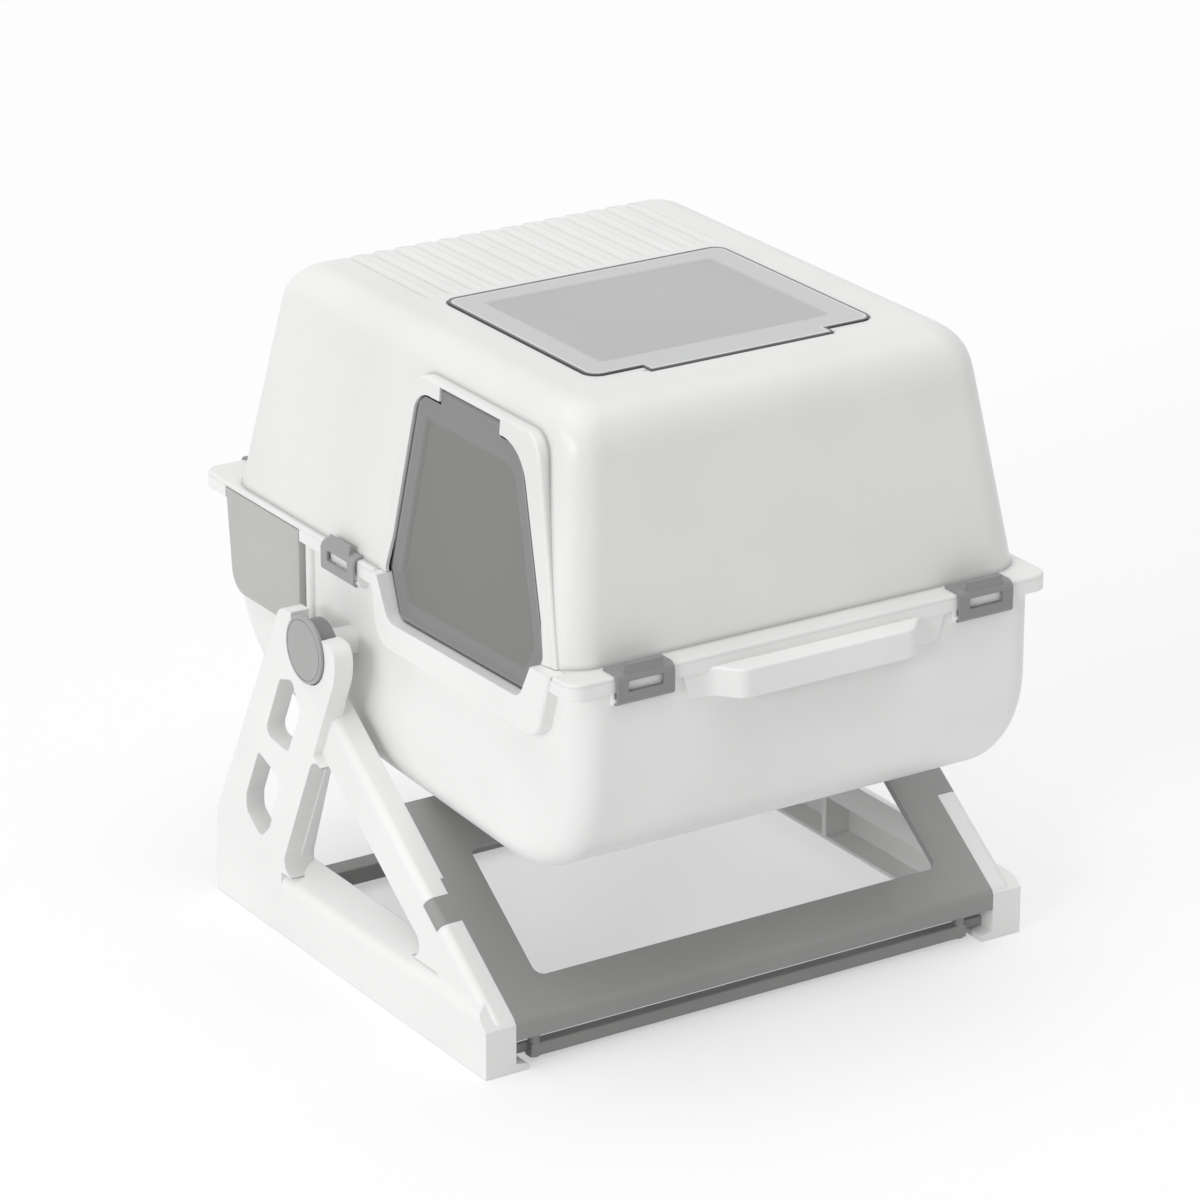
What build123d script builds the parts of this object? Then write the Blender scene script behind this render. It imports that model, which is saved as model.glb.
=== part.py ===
from build123d import *
import math
import os

# Litter box on a rolling stand. Millimetres, +Z up, front towards -Y, pivot axis along X.
# All places below are measured from the middle of the stand; the finished pieces are
# moved by SHIFT_Y so that the origin is under the middle of the whole object.

# Clearances
RUN_GAP = 0.3            # round pins, hubs and flat faces that move past each other
FIT_GAP = 0.2            # pieces that are fixed face to face
FLAP_GAP = 1.4           # round the door and the window lid
SLIDE_GAP = 1.0          # round the drawer
OVER = 1.0               # a cutting or joining solid passes the face that it meets by this much
FAR = 20.0               # a cut that clears a whole wall passes it by this much

# Main sizes, which the widths and depths below follow
TUB_HALF = 217.0         # side walls of the tub
TUB_FRONT = 285.0        # front wall of the tub

# Stand
STAND_HALF = TUB_HALF + 43.0     # outer faces of the side frames
STAND_REACH = 217.5      # half the depth of the footprint
FRAME_INNER = STAND_HALF - 28.0  # inner faces of the rails and front legs
BOSS_INNER = STAND_HALF - 17.0   # inner faces of the boss, strut and rear leg
LEG_OUTER = STAND_HALF - 8.0     # outer face of the front leg, set back
LEG_EDGE = 7.0           # rounding of the front leg's outer top edge
LEG_STEP_UP = 140.0      # up the slope from here the front leg is wider
LEG_STEP_END = 320.0     # the leg ends here beside the boss
LEG_STEP_IN = 3.0
LEG_STEP_DEPTH = 12.0
LEG_HEEL = 20.0          # depth of the leg's own foot
TRIANGLE_BASE = 57.0     # lower edge of the triangle between leg, strut and rail
TRIANGLE_ROUND = 12.0
RAIL_HEIGHT = 50.0       # rail at its outer face
RAIL_INNER_HEIGHT = 65.0
RAIL_ROUND = 10.0
RAIL_WALL = 4.0
RAIL_FLOOR = 3.0
RAIL_RIB = 6.0
RAIL_RIB_AT = 28.0
RAIL_POCKET_REACH = 150.0
FOOT_SLOPE_END = 60.0    # up the slope, where the rail meets the leg
FOOT_HEIGHT = 41.0
FOOT_ROUND = 12.0
FOOT_LIP = 12.0          # low lip that reaches inwards at the foot
FOOT_LIP_HEIGHT = 7.0
FOOT_LIP_DEPTH = 26.0
FOOT_LIP_ROOT = 2.0      # into the rail
FOOT_LIP_FALL = 2.0
FOOT_LIP_TOE = 2.0
FOOT_LIP_ROUND = 3.0
LEG_SLOPE = 35.3         # front leg, degrees above the floor
LEG_START = 42.9         # height of the leg's top face at the front of the foot
LEG_WIDTH = 40.0
REAR_CORNER = 74.0       # height where the rear edge starts to lean
REAR_CORNER_ROUND = 20.0
REAR_LEAN = 2.0
STRUT_FOOT = 106.6       # front edge of the strut at the rail
STRUT_FOOT_HEIGHT = 60.0
STRUT_WEB = 14.0
# Windows between the strut and the rear leg, as (y, z, corner radius)
UPPER_WINDOW = [
    (102.0, 231.0, 6.0), (82.0, 237.0, 6.0), (69.0, 214.0, 6.0), (91.0, 170.0, 6.0), (129.5, 174.0, 8.0),
]
LOWER_WINDOW = [
    (141.0, 153.0, 4.0), (104.0, 140.0, 8.0), (125.0, 90.0, 10.0), (140.0, 76.0, 8.0), (164.0, 92.0, 10.0),
    (163.6, 107.0, 8.0),
]

# Pivot
PIVOT_Y = 57.0
PIVOT_Z = 272.0
BOSS_R = 46.0
HUB_R = 24.0
FRONT_ARM_TOP = 288.0
FRONT_ARM_ROUND = 12.0
REAR_ARM_TOP = 296.0
REAR_ARM_OUT = 43.0      # outer corner of the rear arm, from the pivot
REAR_ARM_ROUND = 16.0
HUB_END = STAND_HALF - 3.5
HUB_SHOULDER = STAND_HALF - 17.0 # white bosses of the tub end here, beside the cradles
HUB_SHOULDER_R = 12.0
HUB_SPIGOT_R = 8.0
KNOB_R = 28.5
KNOB_FACE = STAND_HALF + 3.0
KNOB_THICK = 6.0
KNOB_EDGE = 1.2
KNOB_BEVEL = 2.5         # behind the disc's edge
KNOB_GROOVE_IN = 2.6     # shallow ring in the face, in from its edge
KNOB_GROOVE_WIDTH = 0.8
KNOB_GROOVE_DEPTH = 0.5
KNOB_STEM_R = 10.0
KNOB_STEM = 10.0
SEAT_R = 29.5            # shallow seat round the knob in the cradle
SEAT_DEPTH = 6.0

# Grey front panel and the bars of the stand
PANEL_THICK = 9.0
PANEL_LIP_BOTTOM = 26.8
PANEL_BEND_ROUND = 8.0
PANEL_OPEN_HALF = FRAME_INNER - 37.0
PANEL_LOW_BAR = 35.0     # up the slope from the bend
PANEL_TOP_BAR = 53.0
PANEL_OPEN_ROUND = 9.0
PANEL_STEP = 6.0
PANEL_STEP_DEPTH = 3.0
REST_GAP = 0.4           # between the panel's top edge and the tub that rests on it
TAB_UP = 99.5            # tab let into the white leg, up the slope from the bend
TAB_LENGTH = 25.5
TAB_THICK = 3.0
TAB_DROP = 9.5           # down the leg's outer face
TAB_ROOT = 12.0          # into the panel
BAR_EDGE = 2.0           # rounded edges of the two bars
BASE_BAR_FRONT = 208.0
BASE_BAR_DEPTH = 10.0
BASE_BAR_BOTTOM = 3.0
BASE_BAR_TOP = 15.0
BASE_BAR_HALF = FRAME_INNER - 20.0
BASE_TONGUE_DEPTH = 4.0
BASE_POST_R = 5.0
BASE_POST_TOP = 30.0
REAR_BAR_FRONT = 150.0
REAR_BAR_DEPTH = 22.0
REAR_BAR_BOTTOM = 6.0
REAR_BAR_HEIGHT = 14.0
REAR_BAR_WALL = 3.0
REAR_BAR_END = 21.0      # solid ends, which reach into the rails

# Tub
TUB_REAR = TUB_FRONT - 23.0
TUB_REAR_TOP = TUB_REAR + 3.0
TUB_WALL = 3.0
TUB_FLOOR_FRONT = 158.2  # floor height under the front wall, before rounding
TUB_FLOOR_RISE = 2.07    # degrees, towards the back
TUB_FRONT_R = 105.0
TUB_REAR_R = 110.0
TUB_END_R = 25.0
TUB_TOP = 347.0
FLANGE_HALF = TUB_HALF + 9.0
FLANGE_REACH = TUB_FRONT + 4.0
FLANGE_DEPTH = 10.0
FLANGE_R = 14.0
LIP_OUT = FLANGE_HALF + 3.0      # raised lip round the doorway in the tub
LIP_TOP = 350.0
LIP_BOTTOM = 290.0
LIP_FRONT = 262.0
LIP_REAR = 6.0
LIP_LEAN = 18.0
LIP_ROUND = 26.0
LIP_EDGE = 3.0
RIDGE_OUT = 5.0
RIDGE_WIDTH = 9.0
RIDGE_ROUND = 4.0

# Handle on the front of the tub, open from below
HANDLE_FACE = FLANGE_REACH + 19.6
HANDLE_BAR_HALF = 80.0
HANDLE_BAR_ROUND = 13.0
HANDLE_NECK_HALF = 99.0
HANDLE_NECK_ROUND = 14.0
HANDLE_BASE_HALF = 124.0
HANDLE_BASE_LOW = 116.0
HANDLE_BASE_ROUND = 3.0
HANDLE_PLATE = 3.0       # thickness of the plates at its ends
HANDLE_BOTTOM = 315.5
HANDLE_TOP = 340.0
HANDLE_WALL = 5.0
HANDLE_ROOF = 3.5
HANDLE_EDGE = 2.0

# Hood
HOOD_HALF = FLANGE_HALF - 6.3
HOOD_FRONT = FLANGE_REACH - 22.0
HOOD_REAR = FLANGE_REACH - 33.0
HOOD_BASE = 350.5
HOOD_TOP = 547.0
HOOD_WALL = 3.2
HOOD_SIDE_DRAFT = 9.2    # degrees that each wall leans in
HOOD_FRONT_DRAFT = 9.3
HOOD_REAR_DRAFT = 11.2
HOOD_SIDE_R = 30.0       # rounding between each wall and the top
HOOD_FRONT_R = 45.0
HOOD_REAR_R = 42.0
HOOD_CORNER_R = 33.5     # upright corners at the base, tighter further up
HOOD_CORNER_TAPER = 0.043
HOOD_CORNER_SHRINK = 0.5
HOOD_STEPS = 8
LEDGE_ROUND = 2.5
SKIRT_DEPTH = 8.0        # rim of the hood that reaches down inside the tub
SKIRT_WALL = 2.4

# Doorway in the left side, as (y, z, corner radius) seen from the left, before it is
# leaned in with the surround round the hood's base
DOOR_LEAN = 4.45
SURROUND_TOP = 524.0
DOOR_TOP = SURROUND_TOP - 16.0
DOOR_OUTLINE = [
    (-218.0, 319.5, 14.0), (-22.0, 316.0, 12.0), (-3.0, 354.0, 6.0), (-31.1, DOOR_TOP, 20.0),
    (-184.8, DOOR_TOP, 38.0), (-236.5, 354.0, 8.0),
]
DOOR_LEAST_ROUND = 3.0
DOOR_FACE = TUB_HALF - 2.0
DOOR_THICK = 3.0
DOOR_BORDER = 15.0
DOOR_SOFT = 5.0          # width of the soft step inside the border
DOOR_STEP = 1.7
SURROUND_FACE = TUB_HALF
SURROUND_REAR = 10.0
SURROUND_REAR_TOP = 23.0
SURROUND_FRONT = 253.0
SURROUND_FRONT_TOP = 206.0
SURROUND_TOP_ROUND = 24.0
SURROUND_EDGE = 3.0
SURROUND_REACH = 150.0
HINGE_HALF = 44.5
HINGE_MIDDLE = -108.5
HINGE_AXIS_X = DOOR_FACE - 3.5
HINGE_AXIS_Z = SURROUND_TOP - 8.0
HINGE_R = 4.0
HINGE_ROOM = 1.0         # round the barrel
HINGE_SWING = 9.2        # from the axis down to the flap's top edge
HINGE_ARM = 12.0         # from the axis down to the foot of the flap's arm
HINGE_PIN_R = 2.2
HINGE_PIN = 5.0
HINGE_CHEEK = 8.0
HINGE_CHEEK_R = 3.5

# Window lid in the top
LID_HALF = 133.0
LID_FRONT = 172.0
LID_REAR = 50.0
LID_ROUND = 12.0
LID_INNER_ROUND = 5.0
LID_THICK = 2.6
LID_PROUD = 1.3          # above the hood's top
LID_BORDER = 23.0
LID_SOFT = 4.0           # width of the soft step inside the border
LID_STEP = 1.0
LID_LEDGE = 8.0
LID_LEDGE_THICK = 3.0
LID_TAB_HALF = 86.0
LID_AXIS_Y = 180.0
LID_BARREL_R = 3.4
LID_PIN_R = 1.8
LID_PIN = 4.0
LID_CHEEK = 9.0
LID_CHEEK_FRONT = 8.0    # of the axis
LID_CHEEK_DROP = 7.0     # below the axis
LID_BARREL_ROOM = 1.6

# Vent louvres, each a ramp that ends in a step on its left
VENT_COUNT = 14
VENT_PITCH = 20.6
VENT_WIDTH = 12.0
VENT_DEPTH = 2.2
VENT_SLIT = 1.5          # slit through the top at the foot of each step
VENT_SLIT_END = 20.0     # short of the louvre's rear end
VENT_LAND = 0.5          # the ramp would come out this far beyond the louvre's right edge
VENT_START = 60.0
VENT_LENGTH = 155.0

# Drawer in the left side of the tub, behind the pivot
DRAWER_FRONT = 126.5
DRAWER_REAR = 248.0
DRAWER_REAR_LOW = 239.0
DRAWER_BOTTOM = 258.0
DRAWER_TOP = 346.0
DRAWER_FACE = FLANGE_HALF + 0.5
DRAWER_FACE_THICK = 8.5
DRAWER_CORNER = 20.0
DRAWER_FOOT_ROUND = 6.0
DRAWER_EDGE = 1.2
TRAY_WALL = 2.5
TRAY_FRONT = 131.0
TRAY_REAR = 228.0
TRAY_BOTTOM = 264.0
TRAY_TOP = 328.0
TRAY_LENGTH = 420.0
TRAY_ROUND = 5.0
TRAY_HOLE_ROUND = 4.0
TRAY_HOLE_TOP_ROUND = 1.0
SHELF_WALL = 2.5
SHELF_SHORT = 3.0        # of the tub's rear wall
PARTITION_ABOVE = 4.0    # over the tray's rim
PARTITION_ROUND = 1.0

# Sieve plate below the drawer shelf
SIEVE_THICK = 3.0
SIEVE_SLOTS = 22
SIEVE_SLOT_WIDTH = 9.0
SIEVE_MARGIN = 10.0

# Clips that hold the hood down
CLIP_WIDTH = 52.0
CLIP_MIDDLE = FLANGE_HALF - 65.8 # front and rear clips, from the middle
CLIP_PIN_OUT = 0.3       # pivot bar, out from the flange edge
CLIP_PIN_Z = 331.0
CLIP_PIN_R = 1.6
CLIP_PLATE = 2.0
CLIP_CURL = 110.0        # degrees of the curl round the bar
CLIP_ARM_Z = 350.8
CLIP_ARM_THICK = 2.4
CLIP_ARM_ROUND = 0.6
CLIP_BEND = 7.0          # outside of the bend between plate and arm
CLIP_TAB_WIDTH = 33.0    # finger tab that stands up at the bend
CLIP_TAB_TOP = 359.5
CLIP_TAB_FRONT = 2.5     # out from the flange edge, at its root
CLIP_TAB_REAR = 2.5      # in from the flange edge, at its root
CLIP_TAB_LEAN = 1.2
CLIP_TAB_ROUND = 1.0
CLIP_FRONT_REACH = 17.0  # arm, in from the flange edge
CLIP_SIDE_REACH = 4.6
CLIP_SLOT_WIDTH = 32.0
CLIP_SLOT_BOTTOM = 337.5
CLIP_SLOT_TOP = 346.5
CLIP_ROUND = 1.5
CLIP_EAR = 2.0
CLIP_EAR_HEIGHT = 3.5

CLIP_PLATE_IN = CLIP_PIN_OUT + CLIP_PIN_R + RUN_GAP
CLIP_PLATE_OUT = CLIP_PLATE_IN + CLIP_PLATE
SHIFT_Y = (HANDLE_FACE - FLANGE_REACH - CLIP_PLATE_OUT) / 2
HUGE = 700.0


def block(x_from, x_to, y_from, y_to, z_from, z_to):
    middle = ((x_from + x_to) / 2, (y_from + y_to) / 2, (z_from + z_to) / 2)
    return Pos(*middle) * Box(x_to - x_from, y_to - y_from, z_to - z_from)


def rounded_outline(points):
    """A flat face from corners (a, b, radius)."""
    face = make_face(Polyline(*[(a, b) for a, b, r in points], close=True))
    for a, b, r in points:
        if r > 0:
            corner = face.vertices().sort_by_distance((a, b))[0]
            face = fillet(corner, r)
    return face


def side_slab(face, x_from, x_to):
    """Extrude a (y, z) face along X."""
    return extrude(Plane.YZ.offset(x_from) * face, amount=x_to - x_from)


def front_slab(face, y_from, y_to):
    """Extrude an (x, z) face along Y."""
    return extrude(Plane.XZ.offset(-y_to) * face, amount=y_to - y_from)


def flat_slab(face, z_from, z_to):
    """Extrude an (x, y) face along Z."""
    return extrude(Plane.XY.offset(z_from) * face, amount=z_to - z_from)


def rod_x(y, z, radius, x_from, x_to):
    return side_slab(Pos(y, z) * Circle(radius), x_from, x_to)


def rod_y(x, z, radius, y_from, y_to):
    return front_slab(Pos(x, z) * Circle(radius), y_from, y_to)


def mirrored(solid):
    return mirror(solid, about=Plane.YZ)


# Side frames

PANEL_HALF = FRAME_INNER - FIT_GAP
LEG_UP = math.tan(math.radians(LEG_SLOPE))
LEG_DROP = LEG_WIDTH / math.cos(math.radians(LEG_SLOPE))


def leg_top(y):
    return LEG_START + (y + STAND_REACH) * LEG_UP


def leg_point(along, above):
    """A (y, z) point up the slope from the bend of the panel and above the leg's top face."""
    slope = math.radians(LEG_SLOPE)
    y = -STAND_REACH + along * math.cos(slope) - above * math.sin(slope)
    z = LEG_START + along * math.sin(slope) + above * math.cos(slope)
    return y, z


def strut_tangent():
    """The point where the strut's front edge touches the boss circle."""
    away_y = STRUT_FOOT - PIVOT_Y
    away_z = STRUT_FOOT_HEIGHT - PIVOT_Z
    distance = math.hypot(away_y, away_z)
    turn = math.atan2(away_z, away_y) - math.acos(BOSS_R / distance)
    return PIVOT_Y + BOSS_R * math.cos(turn), PIVOT_Z + BOSS_R * math.sin(turn)


def upper_plate():
    """Rear leg, strut and boss as one (y, z) face with its two windows."""
    touch_y, touch_z = strut_tangent()
    body = rounded_outline([
        (STAND_REACH, 0, 0), (STAND_REACH - REAR_LEAN, REAR_CORNER, REAR_CORNER_ROUND),
        (PIVOT_Y + REAR_ARM_OUT, REAR_ARM_TOP, REAR_ARM_ROUND), (PIVOT_Y, REAR_ARM_TOP, 0),
        (PIVOT_Y, PIVOT_Z, 0), (touch_y, touch_z, 0), (STRUT_FOOT, STRUT_FOOT_HEIGHT, 0), (STRUT_FOOT, 0, 0),
    ])
    below = Pos(0, FRONT_ARM_TOP - HUGE / 2) * Rectangle(HUGE, HUGE)
    boss = (Pos(PIVOT_Y, PIVOT_Z) * Circle(BOSS_R)) & below
    boss = fillet(boss.vertices().sort_by(Axis.X)[0], FRONT_ARM_ROUND)
    return body + boss - rounded_outline(UPPER_WINDOW) - rounded_outline(LOWER_WINDOW)


def cradle_cut(radius):
    """The open-top slot of the cradle as a (y, z) face."""
    slot = Pos(PIVOT_Y, PIVOT_Z + HUGE / 2) * Rectangle(2 * radius, HUGE)
    return slot + Pos(PIVOT_Y, PIVOT_Z) * Circle(radius)


def rail_solid():
    section = rounded_outline([
        (-STAND_HALF, 0, 0), (-STAND_HALF, RAIL_HEIGHT, RAIL_ROUND),
        (-FRAME_INNER, RAIL_INNER_HEIGHT, 0), (-FRAME_INNER, 0, 0),
    ])
    rail = front_slab(section, -STAND_REACH, STAND_REACH)
    slope_end = leg_point(FOOT_SLOPE_END, 0)
    foot_cut = rounded_outline([
        (-STAND_REACH, FOOT_HEIGHT, 0), slope_end + (0,), (slope_end[0], HUGE, 0),
        (-STAND_REACH - HUGE, HUGE, 0), (-STAND_REACH - HUGE, FOOT_HEIGHT - HUGE * LEG_UP, 0),
    ])
    rail -= side_slab(foot_cut, -STAND_HALF - OVER, -FRAME_INNER + OVER)
    pocket_out = STAND_HALF - RAIL_WALL
    ends = [-RAIL_POCKET_REACH, RAIL_RIB_AT, STAND_REACH - RAIL_WALL]
    for near, far in zip(ends, ends[1:]):
        rail -= block(-pocket_out, -FRAME_INNER, near + RAIL_RIB / 2, far - RAIL_RIB / 2,
                      RAIL_FLOOR, RAIL_HEIGHT - RAIL_ROUND)
    lip = rounded_outline([
        (-FRAME_INNER - FOOT_LIP_ROOT, 0, 0), (-FRAME_INNER + FOOT_LIP, 0, FOOT_LIP_TOE),
        (-FRAME_INNER + FOOT_LIP, FOOT_LIP_HEIGHT - FOOT_LIP_FALL, FOOT_LIP_ROUND),
        (-FRAME_INNER, FOOT_LIP_HEIGHT, 0), (-FRAME_INNER - FOOT_LIP_ROOT, FOOT_LIP_HEIGHT, 0),
    ])
    rail += front_slab(lip, -STAND_REACH, -STAND_REACH + FOOT_LIP_DEPTH)
    return rail


def slope_bar(start, end, corners):
    """A bar up the slope of the leg from corners (x, depth below the leg's top, radius)."""
    slope = math.radians(LEG_SLOPE)
    origin = (0,) + leg_point(start, 0)
    plane = Plane(origin=origin, x_dir=(1, 0, 0), z_dir=(0, math.cos(slope), math.sin(slope)))
    return extrude(plane * rounded_outline(corners), amount=end - start)


def leg_core(start, end, inset, inner, depth):
    """A stretch of the leg with its rounded outer edge, inset from its faces."""
    outer = -LEG_OUTER + inset
    return slope_bar(start, end, [
        (outer, inset, LEG_EDGE - inset), (inner, inset, 0), (inner, depth, 0), (outer, depth, 0),
    ])


def leg_step(gap):
    """The wider upper stretch of the leg, beside the panel."""
    inner = -FRAME_INNER + LEG_STEP_IN + gap
    outer = -LEG_OUTER + LEG_EDGE
    depth = LEG_STEP_DEPTH + gap
    return slope_bar(LEG_STEP_UP - gap, LEG_STEP_END, [
        (outer, -gap, 0), (inner, -gap, 0), (inner, depth, 0), (outer, depth, 0),
    ])


def tab_form(gap):
    """The panel's tab over the leg, or the room for it when grown by a gap."""
    start = TAB_UP - gap
    end = TAB_UP + TAB_LENGTH + gap
    whole = leg_core(start, end, 0, -PANEL_HALF + TAB_ROOT, TAB_DROP + gap)
    return whole - leg_core(start - OVER, end + OVER, TAB_THICK + gap, -PANEL_HALF, LEG_WIDTH)


def front_leg():
    """The sloping front leg from the foot to the boss, set back from the outer face."""
    meet = PIVOT_Y
    heel = -STAND_REACH + LEG_HEEL
    outline = rounded_outline([
        (-STAND_REACH, 0, 0), (-STAND_REACH, LEG_START, FOOT_ROUND), (meet, leg_top(meet), 0),
        (meet, leg_top(meet) - LEG_DROP, 0), (heel, leg_top(heel) - LEG_DROP, 0), (heel, 0, 0),
    ])
    leg = side_slab(outline, -LEG_OUTER, -FRAME_INNER)
    edges = leg.faces().sort_by(Axis.X)[0].edges()
    top_edges = [e for e in edges if e.center().Z > leg_top(e.center().Y) - OVER]
    leg = fillet(top_edges, LEG_EDGE) + leg_step(0)
    return leg - block(-BOSS_INNER, 0, leg_point(LEG_STEP_END, 0)[0], HUGE, 0, HUGE)


def line_crossing(a, b, c, d):
    """Where the line through a and b crosses the line through c and d."""
    along = (b[0] - a[0], b[1] - a[1])
    across = (d[0] - c[0], d[1] - c[1])
    turn = along[0] * across[1] - along[1] * across[0]
    share = ((c[0] - a[0]) * across[1] - (c[1] - a[1]) * across[0]) / turn
    return a[0] + share * along[0], a[1] + share * along[1]


def triangle_gussets():
    """Rounded corners of the opening between the leg, the strut and the rail."""
    under = [leg_point(0, -LEG_WIDTH), leg_point(LEG_STEP_END, -LEG_WIDTH)]
    strut = [(STRUT_FOOT, STRUT_FOOT_HEIGHT), strut_tangent()]
    rail = [(0, TRIANGLE_BASE), (STRUT_FOOT, TRIANGLE_BASE)]
    corners = [line_crossing(*under, *rail), line_crossing(*under, *strut), line_crossing(*strut, *rail)]
    whole = make_face(Polyline(*corners, close=True))
    pieces = whole - rounded_outline([c + (TRIANGLE_ROUND,) for c in corners])
    spans = [(-LEG_OUTER, -FRAME_INNER), (-STAND_HALF, -BOSS_INNER), (-STAND_HALF, -FRAME_INNER)]
    faces = [pieces.faces().sort_by_distance(corner)[0] for corner in corners]
    return [side_slab(face, *span) for face, span in zip(faces, spans)]


def strut_web():
    """The strut's front edge, which grows wider inwards towards the rail."""
    top_y, top_z = strut_tangent()
    edge = rounded_outline([
        (STRUT_FOOT, TRIANGLE_BASE, 0), (top_y, top_z, 0), (top_y + STRUT_WEB, top_z, 0),
        (STRUT_FOOT + STRUT_WEB, TRIANGLE_BASE, 0),
    ])
    flare = rounded_outline([
        (-BOSS_INNER - OVER, TRIANGLE_BASE - OVER, 0), (-FRAME_INNER, TRIANGLE_BASE - OVER, 0),
        (-BOSS_INNER - OVER, top_z, 0),
    ])
    return side_slab(edge, -BOSS_INNER - OVER, -FRAME_INNER) & front_slab(flare, -STAND_REACH, STAND_REACH)


def left_side_frame():
    frame = side_slab(upper_plate(), -STAND_HALF, -BOSS_INNER)
    frame += rail_solid()
    frame += front_leg()
    frame += strut_web()
    for gusset in triangle_gussets():
        frame += gusset
    frame -= tab_form(FIT_GAP)
    frame -= side_slab(cradle_cut(HUB_R + RUN_GAP), -STAND_HALF - OVER, -FRAME_INNER + OVER)
    frame -= rod_x(PIVOT_Y, PIVOT_Z, SEAT_R, -STAND_HALF - OVER, -STAND_HALF + SEAT_DEPTH)
    return frame


# Grey parts of the stand

def tub_floor(y):
    return TUB_FLOOR_FRONT + (y + TUB_FRONT) * math.tan(math.radians(TUB_FLOOR_RISE))


def panel_length():
    """Slope length at which the panel's top edge meets the resting tub."""
    rise = math.tan(math.radians(TUB_FLOOR_RISE))
    floor_here = tub_floor(-STAND_REACH) - REST_GAP
    run = (floor_here - LEG_START) / (LEG_UP - rise)
    return run / math.cos(math.radians(LEG_SLOPE))


PANEL_LENGTH = panel_length()


def front_panel_frame():
    bend_back = PANEL_THICK * math.tan(math.radians(LEG_SLOPE) / 2)
    low = leg_point(0, 0)
    high = leg_point(PANEL_LENGTH, 0)
    high_back = leg_point(PANEL_LENGTH - bend_back, -PANEL_THICK)
    section = rounded_outline([
        (-STAND_REACH, PANEL_LIP_BOTTOM, 0), low + (PANEL_BEND_ROUND,), high + (0,), high_back + (0,),
        leg_point(0, -PANEL_THICK / math.cos(math.radians(LEG_SLOPE) / 2)) + (0,),
        (-STAND_REACH + PANEL_THICK, PANEL_LIP_BOTTOM, 0),
    ])
    panel = side_slab(section, -PANEL_HALF, PANEL_HALF)
    plane = Plane(origin=(0,) + low, x_dir=(1, 0, 0),
                  z_dir=(0, -math.sin(math.radians(LEG_SLOPE)), math.cos(math.radians(LEG_SLOPE))))
    open_length = PANEL_LENGTH - PANEL_LOW_BAR - PANEL_TOP_BAR
    middle = PANEL_LOW_BAR + open_length / 2
    opening = RectangleRounded(2 * PANEL_OPEN_HALF, open_length, PANEL_OPEN_ROUND)
    step = RectangleRounded(2 * (PANEL_OPEN_HALF + PANEL_STEP), open_length + 2 * PANEL_STEP,
                            PANEL_OPEN_ROUND + PANEL_STEP)
    panel -= extrude(plane * Pos(0, middle) * opening, amount=2 * PANEL_THICK, both=True)
    behind = plane.offset(-2 * PANEL_THICK) * Pos(0, middle)
    panel -= extrude(behind * step, amount=PANEL_THICK + PANEL_STEP_DEPTH)
    room = leg_step(FIT_GAP)
    panel -= room + mirrored(room)
    tab = tab_form(0)
    return panel + tab + mirrored(tab)


def front_base_bar():
    front = -BASE_BAR_FRONT
    bar = block(-BASE_BAR_HALF, BASE_BAR_HALF, front, front + BASE_BAR_DEPTH, BASE_BAR_BOTTOM, BASE_BAR_TOP)
    bar = fillet(bar.edges().filter_by(Axis.X).group_by(Axis.Y)[0], BAR_EDGE)
    tongue_back = front + BASE_BAR_DEPTH
    bar += block(-PANEL_HALF, PANEL_HALF, tongue_back - BASE_TONGUE_DEPTH, tongue_back,
                 FOOT_LIP_HEIGHT + FIT_GAP, BASE_BAR_TOP)
    for side in (-1, 1):
        post = Pos(side * (BASE_BAR_HALF - BASE_POST_R), front + BASE_POST_R) * Circle(BASE_POST_R)
        bar += flat_slab(post, BASE_BAR_BOTTOM, BASE_POST_TOP)
    return bar


def rear_cross_bar():
    back = REAR_BAR_FRONT + REAR_BAR_DEPTH
    top = REAR_BAR_BOTTOM + REAR_BAR_HEIGHT
    half = BOSS_INNER - FIT_GAP
    bar = block(-half, half, REAR_BAR_FRONT, back, REAR_BAR_BOTTOM, top)
    bar = fillet(bar.edges().filter_by(Axis.X).group_by(Axis.Z)[-1], BAR_EDGE)
    inner = half - REAR_BAR_END
    return bar - block(-inner, inner, REAR_BAR_FRONT + REAR_BAR_WALL,
                       back - REAR_BAR_WALL, REAR_BAR_BOTTOM - OVER, top - REAR_BAR_WALL)


# Tub

def tub_form(inset, top):
    """The tub's outer form, or its cavity when inset by the wall."""
    front = -TUB_FRONT + inset
    rear = TUB_REAR - inset
    face = rounded_outline([
        (front, top, 0), (front, tub_floor(front) + inset, TUB_FRONT_R - inset),
        (rear, tub_floor(rear) + inset, TUB_REAR_R - inset), (TUB_REAR_TOP - inset, top, 0),
    ])
    half = TUB_HALF - inset
    form = side_slab(face, -half, half)
    ends = form.faces().sort_by(Axis.X)
    edges = [e for f in (ends[0], ends[-1]) for e in f.edges() if e.center().Z < top - OVER]
    return fillet(edges, TUB_END_R - inset)


def plate_outline(half, front, rear, radius):
    middle = (rear - front) / 2
    return Pos(0, middle) * RectangleRounded(2 * half, front + rear, radius)


def grown(points, by):
    """An outline moved outwards by a distance, from (y, z, radius) corners."""
    face = make_face(Polyline(*[(a, b) for a, b, r in points], close=True))
    wider = offset(face, amount=by, kind=Kind.INTERSECTION)
    corners = [wider.vertices().sort_by_distance((a, b))[0] for a, b, r in points]
    return rounded_outline([(c.X, c.Y, max(r + by, DOOR_LEAST_ROUND)) for c, (a, b, r) in zip(corners, points)])


def doorway(by):
    return grown(DOOR_OUTLINE, by)


def leaned(solid):
    """Lean a piece of the doorway in with the door, about its line at the hood's base."""
    line = Pos(-DOOR_FACE, 0, HOOD_BASE)
    return line * Rot(0, DOOR_LEAN, 0) * line.inverse() * solid


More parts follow.
